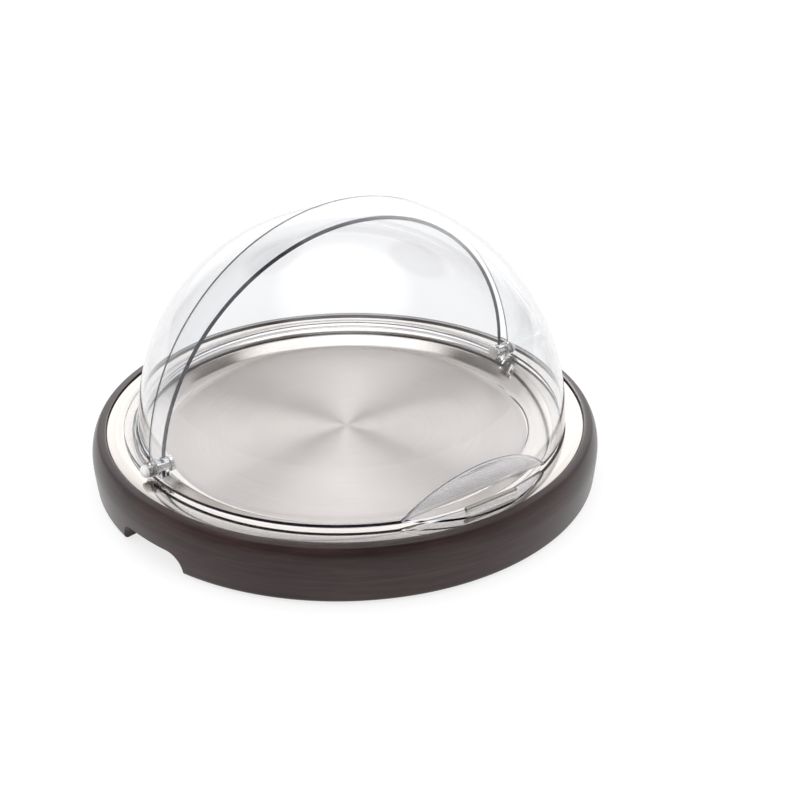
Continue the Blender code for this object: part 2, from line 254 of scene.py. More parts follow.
def ramp(nodes, links, factor, stops):
    made = nodes.new("ShaderNodeValToRGB")
    elements = made.color_ramp.elements
    while len(elements) < len(stops):
        elements.new(0.5)
    for element, (position, colour) in zip(elements, stops):
        element.position = position
        element.color = (*colour, 1.0)
    links.new(factor, made.inputs[0])
    return made.outputs[0]


# ---------------------------------------------------------------- surfaces
def dark_wood():
    """Dark stained hardwood with fine grain along the ring under a satin lacquer."""
    surface, nodes, links, shader = new_surface("dark_wood")
    coords = polar_coordinates(nodes, links, 4.0, 260.0, 260.0)
    grain = node(nodes, "ShaderNodeTexNoise", Scale=1.0, Detail=8.0, Roughness=0.62, Distortion=0.25)
    links.new(coords, grain.inputs["Vector"])
    broad_coords = polar_coordinates(nodes, links, 2.2, 22.0, 22.0)
    broad = node(nodes, "ShaderNodeTexNoise", Scale=1.0, Detail=3.0, Roughness=0.5)
    links.new(broad_coords, broad.inputs["Vector"])
    mixed = math_node(nodes, links, "ADD", math_node(nodes, links, "MULTIPLY", grain.outputs[0], 0.6),
                      math_node(nodes, links, "MULTIPLY", broad.outputs[0], 0.4))
    colour = ramp(nodes, links, mixed, [
        (0.36, (0.014, 0.0064, 0.0066)), (0.50, (0.027, 0.0130, 0.0132)), (0.64, (0.043, 0.0215, 0.0215))
    ])
    links.new(colour, shader.inputs["Base Color"])
    uneven = math_node(nodes, links, "MULTIPLY", grain.outputs[0], 0.12)
    links.new(math_node(nodes, links, "ADD", uneven, 0.34), shader.inputs["Roughness"])
    shader.inputs["Specular IOR Level"].default_value = 0.22
    shader.inputs["Coat Weight"].default_value = 0.32
    shader.inputs["Coat Roughness"].default_value = 0.12
    bump = node(nodes, "ShaderNodeBump", Strength=0.12, Distance=0.0004)
    links.new(grain.outputs[0], bump.inputs["Height"])
    links.new(bump.outputs[0], shader.inputs["Normal"])
    return surface


def board_ply():
    """Plywood with a long straight grain."""
    surface, nodes, links, shader = new_surface("base_board_ply")
    place = nodes.new("ShaderNodeTexCoord").outputs["Object"]
    stretch = node(nodes, "ShaderNodeMapping")
    stretch.inputs["Scale"].default_value = (9, 160, 160)
    links.new(place, stretch.inputs["Vector"])
    grain = node(nodes, "ShaderNodeTexNoise", Scale=1.0, Detail=6.0, Roughness=0.6, Distortion=0.6)
    links.new(stretch.outputs[0], grain.inputs["Vector"])
    colour = ramp(nodes, links, grain.outputs[0], [
        (0.35, (0.050, 0.030, 0.021)), (0.65, (0.115, 0.072, 0.048))
    ])
    links.new(colour, shader.inputs["Base Color"])
    links.new(math_node(nodes, links, "ADD", grain.outputs[0], 0.15), shader.inputs["Roughness"])
    return surface


def steel(name, colour, low_rough, high_rough, anisotropy, ring_scale, relief):
    """Stainless steel turned on a lathe: fine circles round the middle, stretched highlights."""
    surface, nodes, links, shader = new_surface(name)
    coords = polar_coordinates(nodes, links, 1.6, ring_scale, ring_scale)
    lines = node(nodes, "ShaderNodeTexNoise", Scale=1.0, Detail=5.0, Roughness=0.7)
    links.new(coords, lines.inputs["Vector"])
    blotch_coords = polar_coordinates(nodes, links, 1.3, 14.0, 14.0)
    blotch = node(nodes, "ShaderNodeTexNoise", Scale=1.0, Detail=2.0, Roughness=0.5)
    links.new(blotch_coords, blotch.inputs["Vector"])
    mixed = math_node(nodes, links, "ADD", math_node(nodes, links, "MULTIPLY", lines.outputs[0], 0.6),
                      math_node(nodes, links, "MULTIPLY", blotch.outputs[0], 0.4))
    shade = [tuple(c * k for c in colour) for k in (0.90, 1.06)]
    links.new(ramp(nodes, links, mixed, [(0.35, shade[0]), (0.65, shade[1])]), shader.inputs["Base Color"])
    shader.inputs["Metallic"].default_value = 1.0
    span = math_node(nodes, links, "MULTIPLY", mixed, high_rough - low_rough)
    links.new(math_node(nodes, links, "ADD", span, low_rough), shader.inputs["Roughness"])
    shader.inputs["Anisotropic"].default_value = anisotropy
    tangent = node(nodes, "ShaderNodeTangent", direction_type="RADIAL", axis="Z")
    links.new(tangent.outputs[0], shader.inputs["Tangent"])
    bump = node(nodes, "ShaderNodeBump", Strength=relief, Distance=0.0001)
    links.new(lines.outputs[0], bump.inputs["Height"])
    links.new(bump.outputs[0], shader.inputs["Normal"])
    return surface


def clear_plastic(name, tint, haze=0.0, rough=0.0, ripple=0.0):
    """Clear moulded plastic that lets lamps light what is behind it; haze mixes in a milky surface."""
    surface, nodes, links, shader = new_surface(name)
    shader.inputs["Base Color"].default_value = (*tint, 1.0)
    shader.inputs["Roughness"].default_value = rough
    shader.inputs["IOR"].default_value = 1.49
    shader.inputs["Transmission Weight"].default_value = 1.0 - haze
    place = nodes.new("ShaderNodeTexCoord").outputs["Object"]
    flow = node(nodes, "ShaderNodeTexNoise", Scale=26.0, Detail=2.0, Roughness=0.4)
    links.new(place, flow.inputs["Vector"])
    bump = node(nodes, "ShaderNodeBump", Strength=ripple, Distance=0.0006)
    links.new(flow.outputs[0], bump.inputs["Height"])
    links.new(bump.outputs[0], shader.inputs["Normal"])
    through = node(nodes, "ShaderNodeBsdfTransparent")
    through.inputs[0].default_value = (*(0.4 + 0.6 * c for c in tint), 1.0)
    path = nodes.new("ShaderNodeLightPath")
    either = nodes.new("ShaderNodeMixShader")
    output = nodes["Material Output"]
    links.new(path.outputs["Is Shadow Ray"], either.inputs[0])
    links.new(shader.outputs[0], either.inputs[1])
    links.new(through.outputs[0], either.inputs[2])
    links.new(either.outputs[0], output.inputs["Surface"])
    return surface


def absorb(surface, colour, density):
    """Lets the inside of a clear surface take away light the further it travels."""
    nodes, links = surface.node_tree.nodes, surface.node_tree.links
    volume = node(nodes, "ShaderNodeVolumeAbsorption")
    volume.inputs["Color"].default_value = (*colour, 1.0)
    volume.inputs["Density"].default_value = density
    links.new(volume.outputs[0], nodes["Material Output"].inputs["Volume"])
    return surface


def painted_edge_shade(name):
    """Dark slate blue painted on the cut edges of clear plastic: a painted shade standing in for the light
    they trap.
    """
    surface, nodes, links, shader = new_surface(name)
    place = nodes.new("ShaderNodeTexCoord").outputs["Object"]
    noise = node(nodes, "ShaderNodeTexNoise", Scale=90.0, Detail=3.0, Roughness=0.5)
    links.new(place, noise.inputs["Vector"])
    # painted shade: the dark navy colour of a cut edge that traps light
    colour = ramp(nodes, links, noise.outputs[0], [
        (0.35, (0.014, 0.017, 0.032)), (0.65, (0.032, 0.037, 0.062))
    ])
    links.new(colour, shader.inputs["Base Color"])
    shader.inputs["Roughness"].default_value = 0.12
    shader.inputs["IOR"].default_value = 1.49
    shader.inputs["Transmission Weight"].default_value = 0.10
    return surface


def plain(name, colour, roughness, metallic=0.0, speckle=300.0, bump_height=0.00005):
    """Moulded or machined surface with a fine unevenness in gloss and height."""
    surface, nodes, links, shader = new_surface(name)
    place = nodes.new("ShaderNodeTexCoord").outputs["Object"]
    noise = node(nodes, "ShaderNodeTexNoise", Scale=speckle, Detail=4.0, Roughness=0.55)
    links.new(place, noise.inputs["Vector"])
    shade = [tuple(c * k for c in colour) for k in (0.92, 1.05)]
    links.new(ramp(nodes, links, noise.outputs[0], [(0.35, shade[0]), (0.65, shade[1])]),
              shader.inputs["Base Color"])
    links.new(math_node(nodes, links, "ADD", math_node(nodes, links, "MULTIPLY", noise.outputs[0], 0.15),
                        roughness - 0.07), shader.inputs["Roughness"])
    shader.inputs["Metallic"].default_value = metallic
    bump = node(nodes, "ShaderNodeBump", Strength=0.2, Distance=bump_height)
    links.new(noise.outputs[0], bump.inputs["Height"])
    links.new(bump.outputs[0], shader.inputs["Normal"])
    return surface


# ---------------------------------------------------------------- wooden base
NOTCH_WIDTH = 0.074
NOTCH_TOP = 0.0200
NOTCH_CORNER = 0.0150
NOTCH_AZIMUTH = math.radians(-170.0)
REBATE_RADIUS = 0.2062          # the tray's flange lies inside this
REBATE_Z = TRAY_TOP - 0.0015
BASE_LIP = 0.0066               # width of the nearly flat top
BASE_BELLY_Z = 0.0290           # height of the widest line
BASE_BULGE = 0.0162             # half width of the oval that the upper wall follows
BASE_RISE = 0.0256              # half height of that oval
SWELL_START = 46                # degrees up the oval where the wall meets the lip
BASE_FOOT_ROUND = 0.0040
BASE_FOOT_INSET = 0.0055        # how far the foot's rounding is centred inside the widest line
RING_INNER = 0.190
SHOULDER_INNER = 0.182
SHOULDER_Z = board_low.z - 0.0003
SHARP_DEG = 35                  # edges turned more than this stay sharp


def notch_tool(azimuth):
    straight = NOTCH_TOP - NOTCH_CORNER
    half = NOTCH_WIDTH / 2
    outline = [(-half, -0.010)]
    outline += arc((-half + NOTCH_CORNER, straight), (NOTCH_CORNER, NOTCH_CORNER), 180, 90, 16)
    outline += arc((half - NOTCH_CORNER, straight), (NOTCH_CORNER, NOTCH_CORNER), 90, 0, 16)
    outline.append((half, -0.010))
    bm = bmesh.new()
    near, far = SHOULDER_INNER - 0.020, ring_high.x + 0.020
    face = bm.faces.new([bm.verts.new((near, y, z)) for y, z in outline])
    grown = bmesh.ops.extrude_face_region(bm, geom=[face])
    moved = [v for v in grown["geom"] if isinstance(v, bmesh.types.BMVert)]
    bmesh.ops.translate(bm, vec=(far - near, 0, 0), verts=moved)
    bmesh.ops.recalc_face_normals(bm, faces=bm.faces)
    bmesh.ops.rotate(bm, matrix=Matrix.Rotation(azimuth, 3, "Z"), verts=bm.verts)
    return add_object("notch_tool", mesh_from_bmesh("notch_tool", bm))


def make_ring(wood):
    outer, top, bottom = ring_high.x, ring_high.z, ring_low.z
    lip = REBATE_RADIUS + BASE_LIP
    wall = arc((outer - BASE_BULGE, BASE_BELLY_Z), (BASE_BULGE, BASE_RISE), SWELL_START, 0, 26)
    inner_edge = [(REBATE_RADIUS, top - 0.0020), (REBATE_RADIUS, top), (lip - 0.0030, top - 0.0002)]
    outer_edge = [(lip - 0.0020, top - 0.0003), (lip + 0.0002, top - 0.0006), wall[0]]
    foot_round = (BASE_FOOT_ROUND, BASE_FOOT_ROUND)
    profile = [(REBATE_RADIUS, REBATE_Z)]
    profile += rounded(inner_edge, 0.0006)
    profile += rounded(outer_edge, 0.0007)
    profile += wall[1:]
    profile += [(outer - 0.0001, 0.0240), (outer - 0.0005, 0.0180), (outer - 0.0010, 0.0110)]
    profile += arc((outer - BASE_FOOT_INSET, bottom + BASE_FOOT_ROUND), foot_round, 0, -90, 8)
    profile += [(SHOULDER_INNER + 0.0006, bottom), (SHOULDER_INNER, bottom + 0.0006)]
    profile += [(SHOULDER_INNER, SHOULDER_Z), (RING_INNER, SHOULDER_Z), (RING_INNER, REBATE_Z)]
    ring = lathe("base_ring", profile, wood, segments=288)
    for azimuth in (NOTCH_AZIMUTH, NOTCH_AZIMUTH + math.pi):
        carve(ring, notch_tool(azimuth))
    ring.data.shade_smooth()
    ring.data.set_sharp_from_angle(angle=math.radians(SHARP_DEG))
    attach(ring, "base")
    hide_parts("wooden_base_ring")


def make_feet(rubber):
    for index in range(1, 5):
        low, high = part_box(f"rubber_foot_{index}")
        middle = (low + high) / 2
        radius = (high.x - low.x) / 2
        profile = rounded([(0, high.z), (radius, high.z), (radius, low.z), (radius * 0.8, low.z),
                           (radius * 0.72, low.z + 0.0006), (0, low.z + 0.0006)], 0.0006)
        foot = lathe(f"foot_{index}", profile, rubber, closed=False, where=Vector((middle.x, middle.y, 0)))
        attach(foot, "base")
        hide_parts(f"rubber_foot_{index}")


def make_board_screws(metal):
    for index in range(1, 5):
        low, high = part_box(f"board_screw_{index}")
        middle = (low + high) / 2
        radius = (high.x - low.x) / 2
        neck = low.z + 0.0019
        profile = [(0, high.z), (0.0015, high.z), (0.0015, neck), (radius, neck), (radius, low.z + 0.0006),
                   (radius * 0.8, low.z), (0, low.z)]
        screw = lathe(f"board_fixing_{index}", profile, metal, closed=False,
                      where=Vector((middle.x, middle.y, 0)))
        slot_low, slot_high = (-0.0020, -0.0004, low.z - 0.001), (0.0020, 0.0004, low.z + 0.0011)
        for turn in (0, math.pi / 2):
            spin = Matrix.Translation((middle.x, middle.y, 0)) @ Matrix.Rotation(turn, 4, "Z")
            carve(screw, box("drive", slot_low, slot_high, spin))
        screw.data.set_sharp_from_angle(angle=math.radians(SHARP_DEG))
        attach(screw, "base")
        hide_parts(f"board_screw_{index}")


# ---------------------------------------------------------------- steel tray
def make_tray(floor_steel, rim_steel):
    floor_z = tray_low.z + SHEET
    floor_radius, mouth = 0.1580, 0.1855
    rim = tray_high.x
    top_side = [(0, floor_z), (floor_radius, floor_z), (mouth, TRAY_TOP), (rim, TRAY_TOP)]
    under = [(rim, TRAY_TOP - SHEET), (mouth + 0.0003, TRAY_TOP - SHEET),
             (floor_radius + 0.0003, floor_z - SHEET), (0, floor_z - SHEET)]
    profile = rounded(top_side, 0.0075, 8)[:-1]
    profile += arc((rim - SHEET / 2, TRAY_TOP - SHEET / 2), (SHEET / 2, SHEET / 2), 90, -90, 6)
    profile += rounded(under, 0.0075, 8)[1:]
    tray = lathe("tray", profile, floor_steel, rim_steel, segments=288, closed=False, sharp_deg=60)
    for polygon in tray.data.polygons:
        middle = polygon.center
        if math.hypot(middle.x, middle.y) > floor_radius - 0.0005:
            polygon.material_index = 1
    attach(tray, "tray")
    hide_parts("steel_tray")


# ---------------------------------------------------------------- clear shells
def axis_turn(angle):
    """Rotation about the pivot axis; a positive angle tips upright things back, towards +Y."""
    return Matrix.Translation(PIVOT) @ Matrix.Rotation(-angle, 4, "X") @ Matrix.Translation(-PIVOT)


FACET_LEAN = math.atan2(GRIP_BASE.y - GRIP_TOP.y, GRIP_TOP.z - GRIP_BASE.z)
FACET_FRAME = Matrix.Translation(GRIP_BASE) @ Matrix.Rotation(FACET_LEAN, 4, "X")
FACET_NORMAL = (FACET_FRAME.to_3x3() @ Vector((0, -1, 0))).normalized()
FACET_UP = (FACET_FRAME.to_3x3() @ Vector((0, 0, 1))).normalized()
FACET_DEPTH = (GRIP_BASE - SHELL_CENTRE).dot(FACET_NORMAL)
FACET_CENTRE = SHELL_CENTRE + FACET_NORMAL * FACET_DEPTH
FACET_RADIUS = math.sqrt(FRONT_RADIUS ** 2 - FACET_DEPTH ** 2)
BEAD_RADIUS = 0.0009
RIB_RADIUS = 0.00045
RIB_SPACING = 0.0021
# Painted shade: wall faces this near a cut, or this near the front rim, take the dark edge colour.
CUT_BAND = 0.0009               # the wall this near a cut shows the edge's colour
RIM_BAND = 0.0014
ON_PLANE = 0.00002              # how near a corner has to be to lie on a plane
ON_BALL = 0.0002                # how near a corner has to be to lie on a ball

CLEAR, EDGE_SHADE, FACET_AND_BEAD_HIGHLIGHT, BAR = range(4)


def facet_tool(inset):
    return box("facet_tool", (-BIG, -BIG, -BIG), (BIG, inset, BIG), FACET_FRAME)


def bead_tool():
    """A thin ring along the facet's arched edge."""
    steps, sides = 360, 12
    across = Vector((1, 0, 0))
    bm = bmesh.new()
    rows = []
    for i in range(steps):
        a = 2 * math.pi * i / steps
        out = across * math.cos(a) + FACET_UP * math.sin(a)
        middle = FACET_CENTRE + out * FACET_RADIUS
        row = []
        for j in range(sides):
            b = 2 * math.pi * j / sides
            row.append(bm.verts.new(middle + BEAD_RADIUS * (out * math.cos(b) + FACET_NORMAL * math.sin(b))))
        rows.append(row)
    for i in range(steps):
        for j in range(sides):
            k, m = (i + 1) % steps, (j + 1) % sides
            bm.faces.new((rows[i][j], rows[i][m], rows[k][m], rows[k][j]))
    bmesh.ops.recalc_face_normals(bm, faces=bm.faces)
    tool = add_object("bead", mesh_from_bmesh("bead", bm))
    carve(tool, box("bead_cut", (-BIG, -BIG, -BIG), (BIG, BIG, GRIP_BASE.z - 0.0004)))
    return tool


def rib_tool():
    """Fine raised ribs across the facet, each ending just inside its arched edge."""
    ribs = []
    rise = (GRIP_BASE - FACET_CENTRE).dot(FACET_UP) + GRIP_BAR.z + 0.0022
    while rise < FACET_RADIUS - 0.0022:
        half = math.sqrt(FACET_RADIUS ** 2 - rise ** 2) - 0.0040
        if half > 0.004:
            middle = FACET_CENTRE + FACET_UP * rise
            reach = Vector((half, 0, 0))
            ribs.append(rod("rib", RIB_RADIUS, middle - reach, middle + reach, 12))
        rise += RIB_SPACING
    tool = ribs[0]
    for rib in ribs[1:]:
        carve(tool, rib, "UNION")
    return tool


def bead_normal(place):
    """From the middle line of the bead to a place near it."""
    flat = place - FACET_CENTRE
    out = flat - FACET_NORMAL * flat.dot(FACET_NORMAL)
    core = FACET_CENTRE + out.normalized() * FACET_RADIUS
    return place - core


def lies_on_bead(corners):
    return corners[0].y < GRIP_BASE.y + 0.03 and all(
        abs(bead_normal(c).length - BEAD_RADIUS) < 0.00008 for c in corners)


def split_faces(shell, place, normal):
    """Runs a line of new edges round the shell where a plane meets it."""
    bm = bmesh.new()
    bm.from_mesh(shell.data)
    bmesh.ops.bisect_plane(bm, geom=bm.verts[:] + bm.edges[:] + bm.faces[:], plane_co=place, plane_no=normal)
    bm.to_mesh(shell.data)
    bm.free()


def sort_faces(mesh, radius, cut_normal, rim_z, edged_rim):
    """Gives cut edges, the bands beside them and the grip's faces their own material slots; the edges and
    bands get painted shade, the bead a painted highlight.
    """
    for polygon in mesh.polygons:
        corners = [mesh.vertices[v].co for v in polygon.vertices]
        middle, normal = polygon.center, polygon.normal
        beside_cut = [(c - PIVOT).dot(cut_normal) for c in corners]
        on_cut = all(abs(d) < ON_PLANE for d in beside_cut)
        on_rim = edged_rim and all(abs(c.z - rim_z) < ON_PLANE for c in corners)
        reach = [(c - SHELL_CENTRE).length for c in corners]
        on_wall = any(all(abs(d - wall) < ON_BALL for d in reach) for wall in (radius, radius - WALL))
        near_cut = all(-ON_PLANE <= d < CUT_BAND + ON_PLANE for d in beside_cut)
        near_rim = edged_rim and all(c.z < rim_z + RIM_BAND + ON_PLANE for c in corners)
        on_facet = abs((middle - GRIP_BASE).dot(FACET_NORMAL)) < RIB_RADIUS + 0.0001
        under_arch = (middle - FACET_CENTRE).length < FACET_RADIUS - BEAD_RADIUS
        in_bar = (abs(middle.x) < GRIP_BAR.x / 2 + 0.0001
                  and abs(middle.y - GRIP_BAR_Y) < GRIP_BAR.y / 2 + 0.0001)
        on_bead = edged_rim and lies_on_bead(corners)
        # Cut faces, the rim and the thin wall bands beside them take the dark edge colour: painted shade for
        # light trapped in the cut edges.
        if on_cut or on_rim or on_wall and (near_cut or near_rim):
            polygon.material_index = EDGE_SHADE
        elif in_bar and GRIP_BASE.z < middle.z < GRIP_BASE.z + GRIP_BAR.z + 0.0001:
            polygon.material_index = BAR
        # The bead along the arch takes the milky grip surface so that it shows as a light line: a painted
        # highlight. The facet keeps the haze as its own frosted surface.
        elif on_bead or on_facet and under_arch and middle.z > GRIP_BASE.z and normal.dot(FACET_NORMAL) > 0:
            polygon.material_index = FACET_AND_BEAD_HIGHLIGHT


def smooth_ball_normals(obj, outer, inner):
    """Gives the shell's curved faces the true normals of its balls, and turned parts those of a lathe."""
    mesh = obj.data
    mesh.shade_smooth()
    normals = [None] * len(mesh.loops)
    for polygon in mesh.polygons:
        radial = (polygon.center - SHELL_CENTRE).normalized()
        facing = polygon.normal.dot(radial)
        reach = [(mesh.vertices[v].co - SHELL_CENTRE).length for v in polygon.vertices]
        on_outer = facing > 0.9 and max(abs(r - outer) for r in reach) < ON_BALL
        on_inner = facing < -0.9 and max(abs(r - inner) for r in reach) < ON_BALL
        on_bead = lies_on_bead([mesh.vertices[v].co for v in polygon.vertices])
        about_pivot = math.hypot(polygon.center.y - PIVOT.y, polygon.center.z - PIVOT.z) < BOSS_RADIUS * 1.05
        turned_round_pivot = about_pivot and abs(polygon.normal.x) < 0.05 and abs(polygon.center.x) > 0.165
        flat_radial = Vector((polygon.center.x, polygon.center.y, 0)).normalized()
        turned_round_z = (not turned_round_pivot and polygon.center.z < SKIRT_TOP + 0.006
                          and abs(polygon.normal.dot(flat_radial.cross(Vector((0, 0, 1))))) < 0.1)
        for loop in polygon.loop_indices:
            place = mesh.vertices[mesh.loops[loop].vertex_index].co
            if on_outer or on_inner:
                sign = 1 if on_outer else -1
                normals[loop] = (place - SHELL_CENTRE).normalized() * sign
            elif on_bead:
                normals[loop] = bead_normal(place).normalized()
            elif turned_round_pivot:
                out = Vector((0, place.y - PIVOT.y, place.z - PIVOT.z)).normalized()
                normals[loop] = out if out.dot(polygon.normal) > 0 else -out
            elif turned_round_z:
                out = Vector((place.x, place.y, 0)).normalized()
                normals[loop] = (out * polygon.normal.dot(flat_radial)
                                 + Vector((0, 0, polygon.normal.z))).normalized()
            else:
                normals[loop] = polygon.normal.copy()
    mesh.normals_split_custom_set(normals)


def use_surfaces(mesh, surfaces):
    """Gives the mesh its material slots, with every face in the first one."""
    mesh.materials.clear()
    for surface in surfaces:
        mesh.materials.append(surface)
    for polygon in mesh.polygons:
        polygon.material_index = CLEAR


def make_rear_shell(*surfaces):
    """Fixed quarter ball with a flat skirt, and a footed boss at each pivot."""
    shell = ball("rear_cover", REAR_RADIUS)
    carve(shell, ball("hollow", REAR_RADIUS - WALL))
    carve(shell, box("front_cut", (-BIG, -BIG, -BIG), (BIG, 0, BIG), axis_turn(-REAR_LAP)))
    carve(shell, box("below", (-BIG, -BIG, -BIG), (BIG, BIG, REAR_RIM_Z)))
    inside = REAR_RADIUS - WALL + 0.0004
    skirt_low, fillet_top = REAR_RIM_Z + 0.0002, SKIRT_TOP + 0.0060
    profile = [(REAR_RADIUS - 0.0008, fillet_top)]
    profile += arc((REAR_RADIUS + 0.0050, SKIRT_TOP + 0.0048), (0.0050, 0.0048), 180, 270, 8)
    profile += arc((SKIRT_RADIUS - 0.0008, SKIRT_TOP - 0.0008), (0.0008, 0.0008), 90, 0, 3)
    profile += [(SKIRT_RADIUS, skirt_low), (inside, skirt_low), (inside, fillet_top)]
    skirt = lathe("skirt", profile, segments=320)
    carve(skirt, box("skirt_cut", (-BIG, -BIG, -BIG), (BIG, SKIRT_START, BIG)))
    carve(shell, skirt, "UNION")
    for side in (-1, 1):
        low_x, high_x = sorted((side * (BOSS_X[0] + 0.0020), side * (BOSS_X[1] - 0.0010)))
        carve(shell, box("foot", (low_x, -0.0055, REAR_RIM_Z), (high_x, 0.0055, PIVOT.z)), "UNION")
        ends = [(side * x, 0, PIVOT.z) for x in BOSS_X]
        carve(shell, rod("boss", BOSS_RADIUS, *ends), "UNION")
        carve(shell, rod("bore", HOLE_RADIUS, (side * 0.165, 0, PIVOT.z), (side * 0.200, 0, PIVOT.z)))
    use_surfaces(shell.data, surfaces)
    cut_normal = axis_turn(-REAR_LAP).to_3x3() @ Vector((0, 1, 0))
    split_faces(shell, PIVOT + cut_normal * CUT_BAND, cut_normal)
    sort_faces(shell.data, REAR_RADIUS, cut_normal, REAR_RIM_Z, False)
    smooth_ball_normals(shell, REAR_RADIUS, REAR_RADIUS - WALL)
    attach(shell, "cover")
    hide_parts("rear_shell")


def make_front_shell(*surfaces):
    """Moving quarter ball with its grip, and an ear at each pivot."""
    shell = ball("front_cover_shell", FRONT_RADIUS)
    hollow = ball("hollow", FRONT_RADIUS - WALL)
    carve(hollow, facet_tool(WALL))
    carve(shell, facet_tool(0.0))
    carve(shell, bead_tool(), "UNION")
    carve(shell, rib_tool(), "UNION")
    carve(shell, hollow)
    carve(shell, box("rear_cut", (-BIG, 0, -BIG), (BIG, BIG, BIG), axis_turn(FRONT_LAP)))
    carve(shell, box("below", (-BIG, -BIG, -BIG), (BIG, BIG, FRONT_RIM_Z)))
    sag = LEDGE_REACH + GRIP_BASE.y
    ledge_radius = (LEDGE_HALF_WIDTH ** 2 + sag ** 2) / (2 * sag)
    ledge_y = ledge_radius - LEDGE_REACH
    ledge_ends = [(0, ledge_y, z + 0.0001) for z in (FRONT_RIM_Z, GRIP_BASE.z)]
    ledge = rod("ledge", ledge_radius, *ledge_ends, 320)
    carve(ledge, box("ledge_cut", (-BIG, LEDGE_BACK_Y, -BIG), (BIG, BIG, BIG)))
    carve(shell, ledge, "UNION")
    carve(shell, box("bar", (-GRIP_BAR.x / 2, GRIP_BAR_Y - GRIP_BAR.y / 2, GRIP_BASE.z - 0.0010),
                     (GRIP_BAR.x / 2, GRIP_BAR_Y + GRIP_BAR.y / 2, GRIP_BASE.z + GRIP_BAR.z)), "UNION")
    for side in (-1, 1):
        ends = [(side * x, 0, PIVOT.z) for x in EAR_X]
        carve(shell, rod("ear", BOSS_RADIUS, *ends), "UNION")
        carve(shell, rod("bore", BUSH_HOLE_RADIUS, (side * 0.180, 0, PIVOT.z), (side * 0.200, 0, PIVOT.z)))
    use_surfaces(shell.data, surfaces)
    cut_normal = axis_turn(FRONT_LAP).to_3x3() @ Vector((0, 1, 0))
    split_faces(shell, Vector((0, 0, FRONT_RIM_Z + RIM_BAND)), Vector((0, 0, 1)))
    sort_faces(shell.data, FRONT_RADIUS, cut_normal, FRONT_RIM_Z, True)
    smooth_ball_normals(shell, FRONT_RADIUS, FRONT_RADIUS - WALL)
    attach(shell, "front_cover")
    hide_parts("front_shell")


# ---------------------------------------------------------------- pivots
PIN_RADIUS = 0.0025
PIN_END = 0.1950
HEAD_RADIUS = 0.0065
HEAD_X = 0.1689
NUT_RADIUS = 0.0050
NUT_X = (0.1922, 0.1975)
NUT_WALL = 0.0020               # height of the nut's straight side
GAP_WASHER_RADIUS = 0.0060
BUSH_RADIUS = 0.0036
NUT_WASHER_RADIUS = 0.0055
GAP = 0.0003


def washer(outer, low, high):
    """Profile of a ring round the pin, between two places along the pivot axis."""
    middle = (HOLE_RADIUS, (low + high) / 2)
    corners = [(HOLE_RADIUS, high), (outer, high), (outer, low), (HOLE_RADIUS, low)]
    return rounded([middle, *corners, middle], 0.0002, 2)[:-1]


def make_pivots(chrome, cap, nylon, metal):
    """At each side a screw, washers and a cap nut on the cover, and a bush in the front shell."""
    head_high = BOSS_X[0] - GAP
    screw = [(0, PIN_END), (PIN_RADIUS, PIN_END), (PIN_RADIUS, head_high), (HEAD_RADIUS, head_high),
             (HEAD_RADIUS, HEAD_X), (0, HEAD_X)]
    nut_low, nut_high = NUT_X
    nut = arc((0, nut_low + NUT_WALL), (NUT_RADIUS, nut_high - nut_low - NUT_WALL), 90, 0, 10)
    nut += [(NUT_RADIUS, nut_low), (HOLE_RADIUS, nut_low), (HOLE_RADIUS, PIN_END + GAP), (0, PIN_END + GAP)]
    gap_washer = washer(GAP_WASHER_RADIUS, BOSS_X[1] + GAP, EAR_X[0] - GAP)
    nut_washer = washer(NUT_WASHER_RADIUS, EAR_X[1] + GAP, nut_low - GAP)
    pieces = [
        ("pivot_screw", rounded(screw, 0.0006), chrome, "polished_steel", "cover", False),
        ("cap_nut", nut, cap, "cap_plastic", "cover", False),
        ("gap_washer", gap_washer, nylon, "nylon", "cover", True),
        ("ear_bush", washer(BUSH_RADIUS, *EAR_X), nylon, "nylon", "front_cover", True),
        ("nut_washer", nut_washer, metal, "fastener_steel", "cover", True),
    ]
    for side, tag in ((-1, "left"), (1, "right")):
        for name, profile, surface, slot, body, closed in pieces:
            piece = lathe(f"fine_{name}_{tag}", profile, surface, closed=closed, where=PIVOT, side=side)
            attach(piece, body)
            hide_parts(f"{name}_{tag}")


# ---------------------------------------------------------------- camera, lights, floor
CAMERA_AT = Vector((-0.569, -0.837, 0.590))
CAMERA_AIM = Vector((0.050, -0.0116, 0.048))
CAMERA_LENS = 59.07
ROOM_LEVEL = 0.80
ROOM_DIFFUSE = 1.10
HORIZON_FADE_DEG = 16
ROOM_SPOTS = (                  # (elevation, turn), inner and outer angle, added brightness
    ((4, 0), 26, 44, 0.72),
    ((50, 43), 5, 13, -0.90),
    ((50, -41), 6, 13, -1.05),
    ((90, 0), 22, 33, 1.3),
)
CAMERA_SIDE = ((12, 180), 40, 85, -0.65)
ROOM_DARKEST = 0.06
STRIP_AIM = (25, 0)
STRIP_DISTANCE = 1.6
STRIP_SIZE = (0.9, 0.28)
STRIP_WATTS = 6
OVERHEAD_AT = (0.1, 0.2, 1.8)
OVERHEAD_SIZE = (1.4, 1.4)
OVERHEAD_WATTS = 2
LAMPS_AIM = (0, 0, 0.05)
FLOOR_SIZE = 8.0
FLOOR_GREY = 0.32
FLOOR_GLOW = 0.74               # makes up for the grey, and keeps the shadow faint


def look_at(obj, target):
    obj.rotation_euler = (target - obj.location).to_track_quat("-Z", "Y").to_euler()


def make_camera():
    data = bpy.data.cameras.new("camera")
    data.lens = CAMERA_LENS
    camera = bpy.data.objects.new("camera", data)
    bpy.context.scene.collection.objects.link(camera)
    camera.location = CAMERA_AT
    look_at(camera, CAMERA_AIM)
    bpy.context.scene.camera = camera


def soft_light(name, where, target, size, watts):
    data = bpy.data.lights.new(name, "AREA")
    data.shape = "RECTANGLE"
    data.size, data.size_y = size
    data.energy = watts
    lamp = bpy.data.objects.new(name, data)
    bpy.context.scene.collection.objects.link(lamp)
    lamp.location = where
    look_at(lamp, Vector(target))
    return lamp


